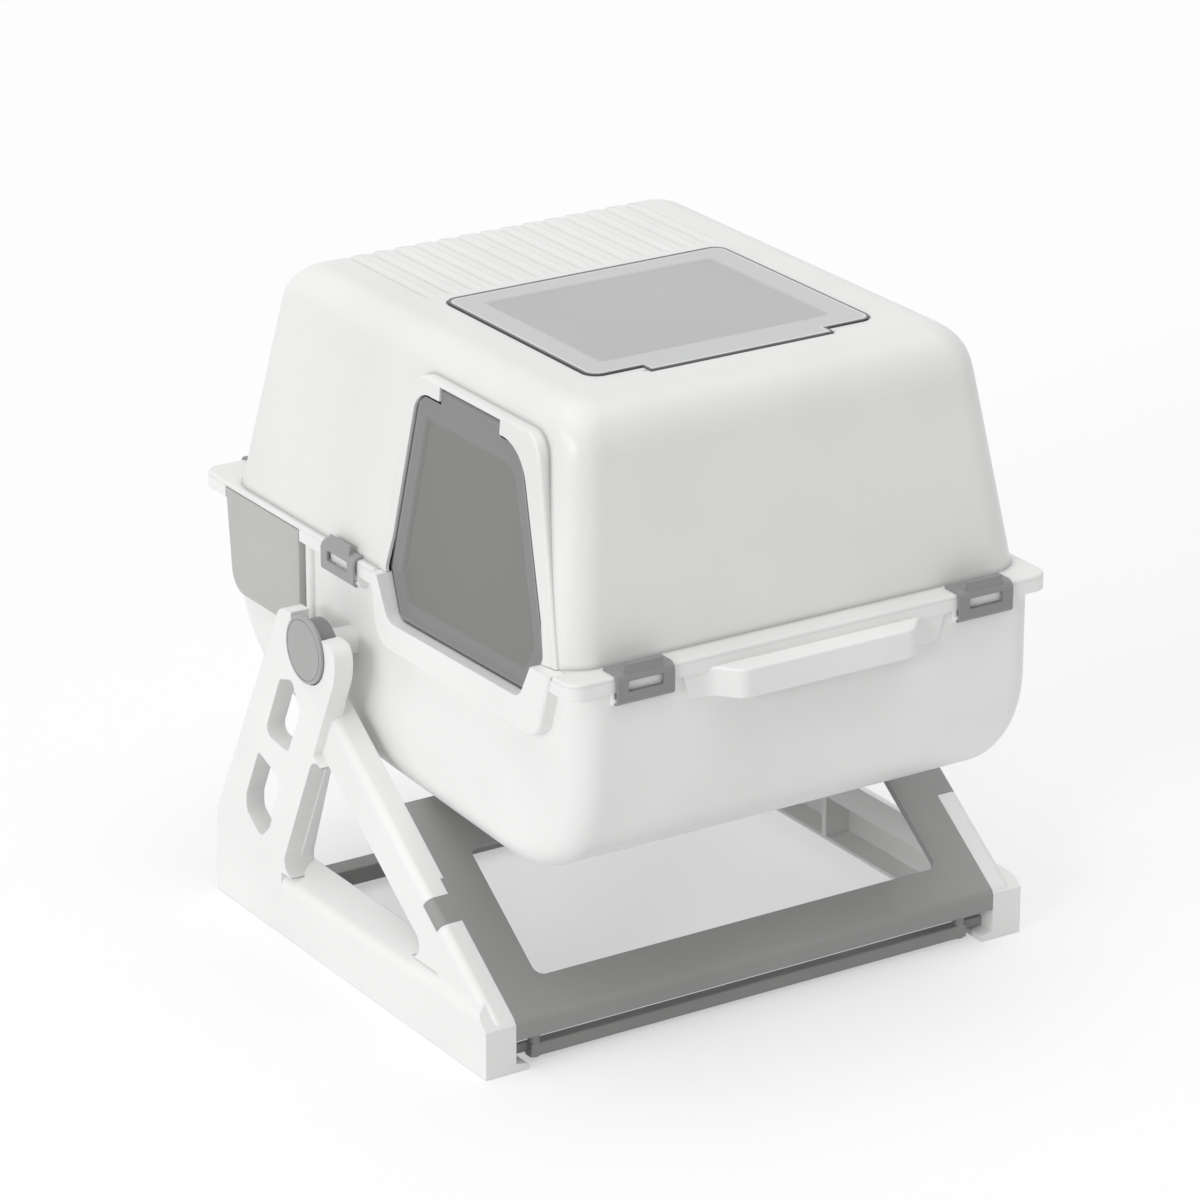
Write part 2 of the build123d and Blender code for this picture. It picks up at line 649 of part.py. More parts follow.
def tub_lip():
    """Raised lip round the part of the doorway that is in the tub."""
    outline = rounded_outline([
        (-LIP_FRONT, LIP_TOP, 0), (-LIP_FRONT + LIP_LEAN, LIP_BOTTOM, LIP_ROUND),
        (LIP_REAR - LIP_LEAN / 4, LIP_BOTTOM, LIP_ROUND), (LIP_REAR, LIP_TOP, 0),
    ])
    lip = side_slab(outline, -LIP_OUT, -TUB_HALF + TUB_WALL)
    edges = lip.faces().sort_by(Axis.X)[0].edges()
    return fillet([e for e in edges if e.center().Z < LIP_TOP - OVER], LIP_EDGE)


def handle():
    """The carrying handle: end plates on the wall and a bar with a pocket for the fingers."""
    neck = TUB_FRONT + HANDLE_PLATE
    side = [
        (HANDLE_BAR_HALF, -HANDLE_FACE, HANDLE_BAR_ROUND), (HANDLE_NECK_HALF, -neck, HANDLE_NECK_ROUND),
        (HANDLE_BASE_HALF, -neck, 0), (HANDLE_BASE_HALF, -TUB_FRONT + TUB_WALL / 2, 0),
    ]
    outer = rounded_outline(side + [(-x, y, r) for x, y, r in reversed(side)])
    ends = rounded_outline([
        (-HANDLE_BASE_LOW, HANDLE_BOTTOM, HANDLE_BASE_ROUND),
        (HANDLE_BASE_LOW, HANDLE_BOTTOM, HANDLE_BASE_ROUND),
        (HANDLE_BASE_HALF, HANDLE_TOP, 0), (-HANDLE_BASE_HALF, HANDLE_TOP, 0),
    ])
    body = flat_slab(outer, HANDLE_BOTTOM, HANDLE_TOP)
    rims = [e for e in body.edges().filter_by(Plane.XY) if e.center().Y < -neck - OVER]
    body = fillet(rims, HANDLE_EDGE) & front_slab(ends, -HUGE, 0)
    back = HANDLE_FACE - HANDLE_WALL
    inside = [
        (HANDLE_BAR_HALF - HANDLE_WALL, -back, HANDLE_BAR_ROUND - HANDLE_WALL),
        (HANDLE_NECK_HALF - 2 * HANDLE_WALL, -TUB_FRONT, 0),
    ]
    pocket = rounded_outline(inside + [(-x, y, r) for x, y, r in reversed(inside)])
    return body - flat_slab(pocket, HANDLE_BOTTOM - OVER, HANDLE_TOP - HANDLE_ROOF)


# A clip place is (middle x, middle y, turn about Z); at turn 0 the clip looks to the front.
CLIP_PLACES = {
    "front_left_clip": (-CLIP_MIDDLE, -FLANGE_REACH, 0),
    "front_right_clip": (CLIP_MIDDLE, -FLANGE_REACH, 0),
    "right_clip": (FLANGE_HALF, PIVOT_Y, 90),
    "rear_right_clip": (CLIP_MIDDLE, FLANGE_REACH, 180),
    "rear_left_clip": (-CLIP_MIDDLE, FLANGE_REACH, 180),
    "left_clip": (-FLANGE_HALF, PIVOT_Y, 270),
}


def placed(solid, name):
    x, y, turn = CLIP_PLACES[name]
    return Pos(x, y, 0) * Rot(0, 0, turn) * solid


def wall_distance(name):
    """From the flange edge in to the tub's wall at a clip."""
    if name in ("left_clip", "right_clip"):
        return FLANGE_HALF - TUB_HALF
    return FLANGE_REACH - (TUB_FRONT if name.startswith("front") else TUB_REAR)


def clip_mount(wall):
    """Two ears with the bar between them that a clip turns on; the flange edge is at y = 0."""
    half = CLIP_WIDTH / 2 + RUN_GAP
    mount = rod_x(-CLIP_PIN_OUT, CLIP_PIN_Z, CLIP_PIN_R, -half - CLIP_EAR / 2, half + CLIP_EAR / 2)
    for side in (-1, 1):
        ear_in = side * half
        ear_out = side * (half + CLIP_EAR)
        mount += block(min(ear_in, ear_out), max(ear_in, ear_out), -CLIP_PIN_OUT, wall + OVER,
                       CLIP_PIN_Z - CLIP_EAR_HEIGHT, TUB_TOP - FLANGE_DEPTH + OVER)
    return mount


def tub():
    body = tub_form(0, TUB_TOP)
    flange = plate_outline(FLANGE_HALF, FLANGE_REACH, FLANGE_REACH, FLANGE_R)
    body += flat_slab(flange, TUB_TOP - FLANGE_DEPTH, TUB_TOP)
    body += tub_lip()
    ridge = Pos(-TUB_HALF, DRAWER_FRONT - SLIDE_GAP - RIDGE_WIDTH / 2) * RectangleRounded(
        2 * RIDGE_OUT, RIDGE_WIDTH, RIDGE_ROUND)
    body += flat_slab(ridge, DRAWER_BOTTOM, TUB_TOP - FLANGE_DEPTH)
    shoulder = rod_x(PIVOT_Y, PIVOT_Z, HUB_SHOULDER_R, -HUB_SHOULDER, -TUB_HALF + TUB_WALL / 2)
    body += shoulder + mirrored(shoulder)
    body -= tub_form(TUB_WALL, TUB_TOP + FAR)
    body += handle()
    for name in CLIP_PLACES:
        body += placed(clip_mount(wall_distance(name)), name)
    body -= leaned(side_slab(doorway(FLAP_GAP), -LIP_OUT - FAR, -TUB_HALF + FAR))
    hole = rounded_outline([
        (TRAY_FRONT - SLIDE_GAP, TRAY_BOTTOM - SLIDE_GAP, TRAY_HOLE_ROUND),
        (TRAY_REAR + SLIDE_GAP, TRAY_BOTTOM - SLIDE_GAP, TRAY_HOLE_ROUND),
        (TRAY_REAR + SLIDE_GAP, TRAY_TOP + SLIDE_GAP, TRAY_HOLE_TOP_ROUND),
        (TRAY_FRONT - SLIDE_GAP, TRAY_TOP + SLIDE_GAP, TRAY_HOLE_TOP_ROUND),
    ])
    body -= side_slab(hole, -TUB_HALF - FAR, -TUB_HALF + TUB_WALL + OVER)
    body -= block(-FLANGE_HALF - FAR, -TUB_HALF, DRAWER_FRONT - SLIDE_GAP, DRAWER_REAR + SLIDE_GAP,
                  TUB_TOP - FLANGE_DEPTH - OVER, TUB_TOP + OVER)
    return body - (hub_hole() + mirrored(hub_hole()))


def hub_hole():
    return rod_x(PIVOT_Y, PIVOT_Z, HUB_SPIGOT_R + FIT_GAP, -HUB_SHOULDER - OVER, -TUB_HALF + TUB_WALL + OVER)


def left_pivot_hub():
    face = -HUB_SHOULDER - FIT_GAP
    hub = rod_x(PIVOT_Y, PIVOT_Z, HUB_R, -HUB_END, face)
    hub += rod_x(PIVOT_Y, PIVOT_Z, HUB_SPIGOT_R, face, -TUB_HALF + TUB_WALL)
    bore_end = -KNOB_FACE + KNOB_THICK + KNOB_STEM + RUN_GAP
    return hub - rod_x(PIVOT_Y, PIVOT_Z, KNOB_STEM_R + RUN_GAP, -HUB_END - OVER, bore_end)


def left_knob():
    back = -KNOB_FACE + KNOB_THICK
    disc = rod_x(PIVOT_Y, PIVOT_Z, KNOB_R, -KNOB_FACE, back)
    disc = fillet(disc.faces().sort_by(Axis.X)[0].edges(), KNOB_EDGE)
    disc = chamfer(disc.faces().sort_by(Axis.X)[-1].edges(), KNOB_BEVEL)
    groove_r = KNOB_R - KNOB_GROOVE_IN
    groove = Pos(PIVOT_Y, PIVOT_Z) * (Circle(groove_r) - Circle(groove_r - KNOB_GROOVE_WIDTH))
    disc -= side_slab(groove, -KNOB_FACE - OVER, -KNOB_FACE + KNOB_GROOVE_DEPTH)
    return disc + rod_x(PIVOT_Y, PIVOT_Z, KNOB_STEM_R, back, back + KNOB_STEM)


# Hood

def wall_reach(z, base, draft, radius, inset):
    """How far a leaning wall with a rounded top reaches at a height."""
    lean = math.tan(math.radians(draft))
    upright = math.cos(math.radians(draft))
    small = radius - inset
    centre_z = HOOD_TOP - radius
    centre = base - (centre_z - HOOD_BASE) * lean - radius / upright
    if z <= centre_z + small * math.sin(math.radians(draft)):
        return base - (z - HOOD_BASE) * lean - inset / upright
    return centre + math.sqrt(max(small ** 2 - (z - centre_z) ** 2, 0))


def hood_section(z, inset):
    side = wall_reach(z, HOOD_HALF, HOOD_SIDE_DRAFT, HOOD_SIDE_R, inset)
    front = wall_reach(z, HOOD_FRONT, HOOD_FRONT_DRAFT, HOOD_FRONT_R, inset)
    rear = wall_reach(z, HOOD_REAR, HOOD_REAR_DRAFT, HOOD_REAR_R, inset)
    plain = HOOD_HALF - (z - HOOD_BASE) * math.tan(math.radians(HOOD_SIDE_DRAFT)) - inset
    shrink = HOOD_CORNER_SHRINK * max(plain - side, 0)
    corner = HOOD_CORNER_R - (z - HOOD_BASE) * HOOD_CORNER_TAPER - shrink - inset
    return Pos(0, 0, z) * plate_outline(side, front, rear, corner)


def hood_form(inset, base):
    """The hood's outer form, or its cavity when inset by the wall."""
    walls = [(HOOD_SIDE_R, HOOD_SIDE_DRAFT), (HOOD_FRONT_R, HOOD_FRONT_DRAFT), (HOOD_REAR_R, HOOD_REAR_DRAFT)]
    start = min(HOOD_TOP - r + (r - inset) * math.sin(math.radians(draft)) for r, draft in walls)
    lower = loft([hood_section(base, inset), hood_section(start, inset)], ruled=True)
    first = math.asin((start - HOOD_TOP + HOOD_REAR_R) / (HOOD_REAR_R - inset))
    sections = []
    for step in range(HOOD_STEPS + 1):
        angle = first + (math.pi / 2 - first) * step / HOOD_STEPS
        sections.append(hood_section(HOOD_TOP - HOOD_REAR_R + (HOOD_REAR_R - inset) * math.sin(angle), inset))
    return lower + loft(sections)


def surround_outline(by):
    return rounded_outline([
        (-SURROUND_FRONT - by, HOOD_BASE, 0), (-SURROUND_FRONT_TOP - by, SURROUND_TOP + by, SURROUND_TOP_ROUND),
        (-SURROUND_REAR_TOP + by, SURROUND_TOP + by, SURROUND_TOP_ROUND), (SURROUND_REAR + by, HOOD_BASE, 0),
    ])


LID_TOP = HOOD_TOP + LID_PROUD
LID_BOTTOM = LID_TOP - LID_THICK
LID_AXIS_Z = LID_TOP - LID_BARREL_R
HINGE_NEAR = HINGE_MIDDLE - HINGE_HALF
HINGE_FAR = HINGE_MIDDLE + HINGE_HALF


def lid_outline(by):
    return plate_outline(LID_HALF + by, LID_FRONT + by, LID_REAR + by, max(LID_ROUND + by, LID_INNER_ROUND))


def hood():
    body = hood_form(0, HOOD_BASE)
    ledge = flat_slab(plate_outline(FLANGE_HALF, FLANGE_REACH, FLANGE_REACH, FLANGE_R), TUB_TOP, HOOD_BASE)
    body += fillet(ledge.faces().sort_by(Axis.Z)[-1].edges(), LEDGE_ROUND)
    body -= block(-LIP_OUT - OVER, -TUB_HALF + TUB_WALL + RUN_GAP, -LIP_FRONT - RUN_GAP, LIP_REAR + RUN_GAP,
                  TUB_TOP - OVER, HOOD_BASE)
    surround = side_slab(surround_outline(0), -SURROUND_FACE, -SURROUND_REACH)
    rim = [e for e in surround.faces().sort_by(Axis.X)[0].edges() if e.center().Z > HOOD_BASE + OVER]
    body += leaned(fillet(rim, SURROUND_EDGE)) & block(-HUGE, 0, -HUGE, HUGE, HOOD_BASE, HUGE)
    body -= hood_form(HOOD_WALL, HOOD_BASE)
    body -= flat_slab(plate_outline(HOOD_HALF - HOOD_WALL, HOOD_FRONT - HOOD_WALL, HOOD_REAR - HOOD_WALL,
                                    HOOD_CORNER_R - HOOD_WALL), TUB_TOP - OVER, HOOD_BASE + OVER)
    body -= leaned(side_slab(surround_outline(-HOOD_WALL), -SURROUND_FACE + HOOD_WALL, -SURROUND_REACH + FAR))
    skirt_half = TUB_HALF - TUB_WALL - RUN_GAP
    skirt = plate_outline(skirt_half, TUB_FRONT - TUB_WALL - RUN_GAP, TUB_REAR - TUB_WALL - RUN_GAP, TUB_END_R)
    hollow = plate_outline(skirt_half - SKIRT_WALL, TUB_FRONT - TUB_WALL - RUN_GAP - SKIRT_WALL,
                           TUB_REAR - TUB_WALL - RUN_GAP - SKIRT_WALL, TUB_END_R - SKIRT_WALL)
    body += flat_slab(skirt - hollow, TUB_TOP - SKIRT_DEPTH, TUB_TOP + OVER)
    # Hinge cheeks beside the door's barrel
    for near in (HINGE_NEAR - HINGE_CHEEK, HINGE_FAR + RUN_GAP):
        far = near + HINGE_CHEEK - RUN_GAP
        body += leaned(block(-SURROUND_FACE + OVER, -HINGE_AXIS_X + HINGE_CHEEK_R, near, far,
                             HINGE_AXIS_Z - HINGE_CHEEK_R, SURROUND_TOP - OVER))
    body -= leaned(side_slab(doorway(FLAP_GAP), -SURROUND_FACE - FAR, -SURROUND_REACH + FAR))
    barrel_reach = HINGE_R + HINGE_ROOM
    body -= leaned(block(-SURROUND_FACE - OVER, -HINGE_AXIS_X + barrel_reach, HINGE_NEAR - RUN_GAP,
                         HINGE_FAR + RUN_GAP, HINGE_AXIS_Z - HINGE_ARM, HINGE_AXIS_Z + barrel_reach))
    body -= leaned(rod_y(-HINGE_AXIS_X, HINGE_AXIS_Z, HINGE_PIN_R + RUN_GAP,
                         HINGE_NEAR - HINGE_PIN - RUN_GAP, HINGE_FAR + HINGE_PIN + RUN_GAP))
    # Seat of the window lid
    seat = lid_outline(LID_LEDGE)
    body += flat_slab(seat, LID_BOTTOM - RUN_GAP - LID_LEDGE_THICK, HOOD_TOP - OVER)
    cheek_half = LID_TAB_HALF + LID_CHEEK
    body += block(-cheek_half, cheek_half, -LID_AXIS_Y - LID_CHEEK_FRONT, -LID_FRONT,
                  LID_AXIS_Z - LID_CHEEK_DROP, HOOD_TOP - OVER)
    body -= flat_slab(lid_outline(FLAP_GAP), LID_BOTTOM - RUN_GAP, HOOD_TOP + FAR)
    body -= flat_slab(lid_outline(-LID_LEDGE), HOOD_TOP - FAR, HOOD_TOP + FAR)
    barrel_room = LID_BARREL_R + LID_BARREL_ROOM
    body -= block(-LID_TAB_HALF - RUN_GAP, LID_TAB_HALF + RUN_GAP, -LID_AXIS_Y - barrel_room, -LID_FRONT + OVER,
                  LID_AXIS_Z - barrel_room, HOOD_TOP + FAR)
    body -= rod_x(-LID_AXIS_Y, LID_AXIS_Z, LID_PIN_R + RUN_GAP,
                  -LID_TAB_HALF - LID_PIN - RUN_GAP, LID_TAB_HALF + LID_PIN + RUN_GAP)
    return body - vent_grooves()


def vent_grooves():
    """Sawtooth louvres from behind the window over the rounded rear edge."""
    low = HOOD_TOP - HOOD_REAR_R
    high = HOOD_TOP + OVER
    front = VENT_START + VENT_WIDTH / 2
    rear = VENT_START + VENT_LENGTH
    lean = math.tan(math.radians(HOOD_REAR_DRAFT))
    crest = side_slab(rounded_outline([
        (0, HOOD_BASE, 0), (0, HOOD_TOP, 0),
        (HOOD_REAR - (HOOD_TOP - HOOD_BASE) * lean, HOOD_TOP, HOOD_REAR_R), (HOOD_REAR, HOOD_BASE, 0),
    ]), -2 * VENT_WIDTH, VENT_WIDTH)
    tilt = Rot(0, -math.degrees(math.asin(VENT_DEPTH / VENT_WIDTH)), 0)
    grooves = None
    for number in range(VENT_COUNT):
        x = (number - (VENT_COUNT - 1) / 2) * VENT_PITCH
        left = x - VENT_WIDTH / 2
        right = x + VENT_WIDTH / 2
        bar = block(left, right, front, rear, low, high)
        bar += flat_slab(Pos(x, front) * Circle(VENT_WIDTH / 2), low, high)
        groove = bar - Pos(right + VENT_LAND, 0, HOOD_TOP) * tilt * Pos(0, 0, -HOOD_TOP) * crest
        groove += block(left, left + VENT_SLIT, front, rear - VENT_SLIT_END, low, high)
        grooves = groove if grooves is None else grooves + groove
    return grooves


# Door, lid and drawer

def door_flap():
    back = -DOOR_FACE + DOOR_THICK
    flap = side_slab(doorway(0), -DOOR_FACE, back)
    flap -= block(-DOOR_FACE - OVER, back + OVER, -HUGE, HUGE, HINGE_AXIS_Z - HINGE_SWING, HUGE)
    flap -= loft([
        Plane.YZ.offset(-DOOR_FACE) * doorway(-DOOR_BORDER),
        Plane.YZ.offset(-DOOR_FACE + DOOR_STEP) * doorway(-DOOR_BORDER - DOOR_SOFT),
    ], ruled=True)
    flap += block(-DOOR_FACE, back, HINGE_NEAR, HINGE_FAR, HINGE_AXIS_Z - HINGE_ARM, HINGE_AXIS_Z)
    flap += rod_y(-HINGE_AXIS_X, HINGE_AXIS_Z, HINGE_R, HINGE_NEAR, HINGE_FAR)
    flap += rod_y(-HINGE_AXIS_X, HINGE_AXIS_Z, HINGE_PIN_R, HINGE_NEAR - HINGE_PIN, HINGE_FAR + HINGE_PIN)
    return leaned(flap)


def window_lid():
    lid = flat_slab(lid_outline(0), LID_BOTTOM, LID_TOP)
    lid -= loft([
        Pos(0, 0, LID_TOP) * lid_outline(-LID_BORDER),
        Pos(0, 0, LID_TOP - LID_STEP) * lid_outline(-LID_BORDER - LID_SOFT),
    ], ruled=True)
    lid += block(-LID_TAB_HALF, LID_TAB_HALF, -LID_AXIS_Y, -LID_FRONT + OVER, LID_BOTTOM, LID_TOP)
    lid += rod_x(-LID_AXIS_Y, LID_AXIS_Z, LID_BARREL_R, -LID_TAB_HALF, LID_TAB_HALF)
    return lid + rod_x(-LID_AXIS_Y, LID_AXIS_Z, LID_PIN_R, -LID_TAB_HALF - LID_PIN, LID_TAB_HALF + LID_PIN)


def waste_drawer():
    outline = rounded_outline([
        (DRAWER_FRONT, DRAWER_BOTTOM, DRAWER_FOOT_ROUND), (DRAWER_REAR_LOW, DRAWER_BOTTOM, DRAWER_CORNER),
        (DRAWER_REAR, DRAWER_TOP, 0), (DRAWER_FRONT, DRAWER_TOP, 0),
    ])
    back = -DRAWER_FACE + DRAWER_FACE_THICK
    front = side_slab(outline, -DRAWER_FACE, back)
    front = fillet(front.faces().sort_by(Axis.X)[0].edges(), DRAWER_EDGE)
    tray = block(back, back + TRAY_LENGTH, TRAY_FRONT, TRAY_REAR, TRAY_BOTTOM, TRAY_TOP)
    tray = fillet(tray.edges().filter_by(Axis.X).group_by(Axis.Z)[0], TRAY_ROUND)
    inside = block(back, back + TRAY_LENGTH - TRAY_WALL, TRAY_FRONT + TRAY_WALL, TRAY_REAR - TRAY_WALL,
                   TRAY_BOTTOM + TRAY_WALL, TRAY_TOP + OVER)
    return front + (tray - inside)


SHELF_TOP = TRAY_BOTTOM - SLIDE_GAP / 2
SHELF_HALF = TUB_HALF - TUB_WALL - FIT_GAP
PARTITION_BACK = TRAY_FRONT - SLIDE_GAP


def drawer_housing():
    """Shelf under the drawer and partition in front of it, inside the tub."""
    shelf_rear = TUB_REAR - TUB_WALL - FIT_GAP - SHELF_SHORT
    front = PARTITION_BACK - SHELF_WALL
    top = TRAY_TOP + PARTITION_ABOVE
    section = rounded_outline([
        (front, SHELF_TOP - SHELF_WALL, 0), (shelf_rear, SHELF_TOP - SHELF_WALL, 0), (shelf_rear, SHELF_TOP, 0),
        (PARTITION_BACK, SHELF_TOP, PARTITION_ROUND), (PARTITION_BACK, top, 0), (front, top, 0),
    ])
    return side_slab(section, -SHELF_HALF, SHELF_HALF) & tub_form(TUB_WALL + FIT_GAP, TUB_TOP)


def sieve_grid():
    """Slotted plate from the tub's floor up to the shelf."""
    front = PARTITION_BACK - SHELF_WALL
    bottom = tub_floor(front)
    top = SHELF_TOP - SHELF_WALL - FIT_GAP
    plate = block(-SHELF_HALF, SHELF_HALF, front, front + SIEVE_THICK, bottom, top)
    plate &= tub_form(TUB_WALL + FIT_GAP, TUB_TOP)
    pitch = 2 * (SHELF_HALF - TUB_END_R) / SIEVE_SLOTS
    slots = None
    for number in range(SIEVE_SLOTS):
        x = (number - (SIEVE_SLOTS - 1) / 2) * pitch
        slot = block(x - SIEVE_SLOT_WIDTH / 2, x + SIEVE_SLOT_WIDTH / 2, front - OVER,
                     front + SIEVE_THICK + OVER, bottom + TUB_WALL + SIEVE_MARGIN, top - SIEVE_MARGIN)
        slots = slot if slots is None else slots + slot
    return plate - slots


# Clips

def clip(reach):
    """A clip that looks to the front, its flange edge at y = 0 and its arm reaching in."""
    half = CLIP_WIDTH / 2
    arm_top = CLIP_ARM_Z + CLIP_ARM_THICK
    plate = rounded_outline([
        (-CLIP_PLATE_OUT, CLIP_PIN_Z, 0), (-CLIP_PLATE_IN, CLIP_PIN_Z, 0),
        (-CLIP_PLATE_IN, CLIP_ARM_Z, CLIP_BEND - CLIP_ARM_THICK),
        (reach, CLIP_ARM_Z, 0), (reach, arm_top, CLIP_ARM_ROUND), (-CLIP_PLATE_OUT, arm_top, CLIP_BEND),
    ])
    body = side_slab(plate, -half, half)
    tab_half = CLIP_TAB_WIDTH / 2
    tab = rounded_outline([
        (-CLIP_TAB_FRONT, CLIP_ARM_Z - OVER, 0), (CLIP_TAB_REAR, CLIP_ARM_Z + OVER, 0),
        (CLIP_TAB_REAR - CLIP_TAB_LEAN, CLIP_TAB_TOP, CLIP_TAB_ROUND),
        (-CLIP_TAB_FRONT + CLIP_TAB_LEAN, CLIP_TAB_TOP, CLIP_TAB_ROUND),
    ])
    body += side_slab(tab, -tab_half, tab_half)
    sector = [(0, 0)]
    for step in range(3):
        angle = math.radians(180 + CLIP_CURL * step / 2)
        sector.append((CLIP_WIDTH * math.cos(angle), CLIP_WIDTH * math.sin(angle)))
    wedge = make_face(Polyline(*sector, close=True))
    ring = Circle(CLIP_PIN_R + RUN_GAP + CLIP_PLATE) - Circle(CLIP_PIN_R + RUN_GAP)
    body += side_slab(Pos(-CLIP_PIN_OUT, CLIP_PIN_Z) * (ring & wedge), -half, half)
    slot = Pos(0, (CLIP_SLOT_BOTTOM + CLIP_SLOT_TOP) / 2) * RectangleRounded(
        CLIP_SLOT_WIDTH, CLIP_SLOT_TOP - CLIP_SLOT_BOTTOM, CLIP_ROUND)
    return body - front_slab(slot, -CLIP_PLATE_OUT - OVER, -CLIP_PLATE_IN + OVER)


def clip_reach(name):
    return CLIP_SIDE_REACH if name in ("left_clip", "right_clip") else CLIP_FRONT_REACH


def write(solid, name):
    placed_solid = Pos(0, SHIFT_Y, 0) * solid
    placed_solid.label = name
    export_step(placed_solid, os.path.join("parts", name + ".step"))


def main():
    os.makedirs("parts", exist_ok=True)
    left_frame = left_side_frame()
    hub = left_pivot_hub()
    knob = left_knob()
    pieces = {
        "left_side_frame": left_frame,
        "right_side_frame": mirrored(left_frame),
        "front_panel_frame": front_panel_frame(),
        "front_base_bar": front_base_bar(),
        "rear_cross_bar": rear_cross_bar(),
        "tub": tub(),
        "hood": hood(),
        "drawer_housing": drawer_housing(),
        "sieve_grid": sieve_grid(),
        "left_pivot_hub": hub,
        "right_pivot_hub": mirrored(hub),
        "left_knob": knob,
        "right_knob": mirrored(knob),
        "door_flap": door_flap(),
        "window_lid": window_lid(),
        "waste_drawer": waste_drawer(),
    }
    for name in CLIP_PLACES:
        pieces[name] = placed(clip(clip_reach(name)), name)
    for name, solid in pieces.items():
        write(solid, name)


main()
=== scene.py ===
"""The looks of a sifting litter box: materials on its solids, then the camera, the floor and the lamps."""
import math

import bpy
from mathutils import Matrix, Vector


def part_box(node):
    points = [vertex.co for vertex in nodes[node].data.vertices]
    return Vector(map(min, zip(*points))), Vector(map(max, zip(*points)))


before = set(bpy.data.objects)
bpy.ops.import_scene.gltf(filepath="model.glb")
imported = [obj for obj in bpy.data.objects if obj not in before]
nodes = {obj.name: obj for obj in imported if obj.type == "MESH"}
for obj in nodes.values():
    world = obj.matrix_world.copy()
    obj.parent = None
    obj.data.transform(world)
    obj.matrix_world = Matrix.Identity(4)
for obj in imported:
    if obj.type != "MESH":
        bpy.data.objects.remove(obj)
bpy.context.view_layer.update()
scene = bpy.context.scene


# Values of the moulded plastics: lengths in metres, noise scales in features per metre

EDGE_ROUND = 0.0006       # radius that moulded edges are shaded with
EDGE_RUBBED = 0.80        # agreement of the rounded and the true normal where an edge is fully rubbed
EDGE_CLEAN = 0.995        # the same where it isn't rubbed at all
CLOUD_SCALE = 9.0         # slow drift of the colour
GLOSS_SCALE = 60.0        # uneven gloss
GLOSS_SWING = 0.05        # how far the roughness strays to either side
SINK_SCALE = 22.0         # faint sink marks
SINK_DEPTH = 0.00006
GRAIN_SCALE = 1500.0
FINE_GRAIN = 0.00001      # depth of the grain
CREVICE_REACH = 0.006     # how near another face has to be for painted shade on this one
CREVICE_SHUT = 0.40       # share of open sky at which the painted crevice shade is darkest
CREVICE_OPEN = 0.90       # and from which no shade is painted

# Values of the smoked sheets

SMOKE_SCALE = 6.0
SMOKE_ALPHA = 0.9
DOOR_ROUGH = 0.30
LID_ROUGH = 0.25
DOOR_STEP = 0.0017        # height of the door's border over its middle
LID_STEP = 0.001          # height of the lid's border over its middle
GLINT_START, GLINT_FULL = -0.0048, -0.0036    # distances from the outline, less than 0 inside it
# where the painted shadow of the gap around the sheet starts and is full
GAP_SHADE_START, GAP_SHADE_FULL = -0.0024, -0.0016
DOOR_LEAN = math.radians(4.45)
DOOR_FOOT = Vector((-0.215, 0, 0.3505))       # a point of the line that the door leans about
DOOR_EDGES = (            # the door's edges as (y, z) before it leans, from its hinge round to it again
    (-0.1755, 0.508), (-0.2272, 0.354), (-0.2100, 0.3185),
    (-0.0143, 0.315), (0.0047, 0.354), (-0.0234, 0.508),
)
LID_ROUND = 0.012
LID_FAR_LINE = 0.0014     # the painted shadow line is this much further in along the lid's rear edge
LID_TAB_DEPTH = 0.0114    # from the barrel's front to the lid's own front edge
LID_TAB_HALF = 0.086
LID_TAB_ROUND = 0.001

# Colours

WHITE = (0.87, 0.87, 0.862)
# the white plastic made darker for the hood: painted shade that offsets the extra light on its
# inward-leaning faces
HOOD_SHADED_WHITE = (0.81, 0.81, 0.80)
# colour of the shade painted into the hood's crevices and vents
CREVICE_SHADE = (0.32, 0.32, 0.32)
GREY = (0.31, 0.31, 0.305)
CLIP_GREY = (0.26, 0.26, 0.26)
# the clip grey made paler for the two side clips: painted light, as their faces turn to the lamps
SIDE_CLIP_LIT_GREY = (0.33, 0.33, 0.328)
DRAWER_GREY = (0.48, 0.48, 0.47)
KNOB_GREY = (0.39, 0.39, 0.385)
HUB_GREY = (0.24, 0.24, 0.24)
SMOKE = (0.225, 0.222, 0.215)
SMOKE_BORDER = (0.265, 0.268, 0.268)
# painted shadow of the gap round the door, on its cut edges and just inside its outline
SMOKE_GAP_SHADE = (0.10, 0.10, 0.10)
SMOKE_GLINT = (0.30, 0.30, 0.30)
LID_SMOKE = (0.50, 0.50, 0.50)
LID_BORDER = (0.63, 0.635, 0.64)
# painted shadow of the gap round the lid, on its cut edges and just inside its outline
LID_GAP_SHADE = (0.12, 0.12, 0.125)
LID_GLINT = (0.76, 0.76, 0.76)

# Camera, floor, world and lamps

CAMERA_PLACE = (-2.2952, -3.5656, 1.9409)
CAMERA_TURN = (math.radians(90 - 21.37), 0, math.radians(-32.54))
SENSOR_WIDTH = 36
LENS = 166.56
CAMERA_REACH = 60
FLOOR_HALF = 14
FLOOR_DROP = 0.0005       # the floor lies this far under the rails
FLOOR_PALE = 0.88         # what light bounces off
FLOOR_DULL = 0.55         # what the camera sees, with the glow added
FLOOR_GLOW = 0.455
WORLD_LIGHT = 0.39
WORLD_SEEN = 0.97
LAMPS = (                 # name, direction from the object to the light, strength, width in degrees
    ("key", (-1, -0.05, 0.35), 0.66, 35),
    ("window", (-0.85, -0.42, 0.32), 0.50, 12),
    ("overhead", (0, 0, 1), 1.42, 70),
)

# Measures of the leaning door and the lid

